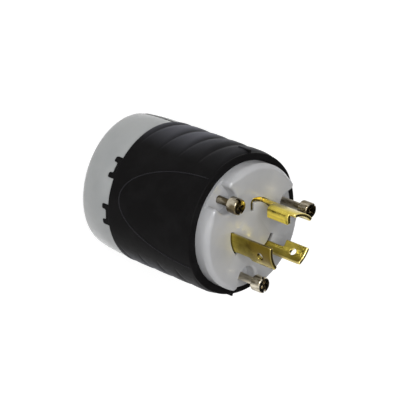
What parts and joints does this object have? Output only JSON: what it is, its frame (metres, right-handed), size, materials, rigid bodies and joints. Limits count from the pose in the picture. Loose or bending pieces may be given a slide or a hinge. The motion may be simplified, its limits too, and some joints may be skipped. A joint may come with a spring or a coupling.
{
  "type": "locking plug",
  "caption": "Round locking mains plug with curved twist-lock blades, a ribbed black grip sleeve and a split white cord clamp at the rear.",
  "frame": {"origin": "centre of the rear end that the plug stands on", "axes": "+Z along the plug's axis towards the blades, +X towards the ground blade, the cord clamp parts along the XZ plane"},
  "size_m": [0.0586, 0.0584, 0.0928],
  "materials": {
    "white_nylon": "satin moulded nylon",
    "black_grip": "fine matt moulded grip",
    "blade_brass": "bright rolled brass",
    "screw_nickel": "nickel plate",
    "insert_brass": "turned brass",
    "terminal_silver": "tin plate",
    "terminal_green": "green dyed plate",
    "plate_steel": "zinc plate",
    "guide_nylon": "satin moulded nylon"
  },
  "bodies": {
    "root": {"assembly_screws": "screw_nickel", "clamp_half_far": "white_nylon", "clamp_half_near": "white_nylon", "clamp_inserts": "insert_brass", "clamp_screws": "screw_nickel", "front_body": "white_nylon", "grip_sleeve": "black_grip", "ground_blade": "blade_brass", "ground_clamp_plate": "plate_steel", "ground_terminal_screw": "terminal_green", "hot_blade": "blade_brass", "hot_clamp_plate": "plate_steel", "hot_terminal_screw": "insert_brass", "neutral_blade": "blade_brass", "neutral_clamp_plate": "plate_steel", "neutral_terminal_screw": "terminal_silver", "screw_inserts": "insert_brass", "wire_guide": "guide_nylon", "wire_guide_screw": "plate_steel"}
  },
  "joints": []
}
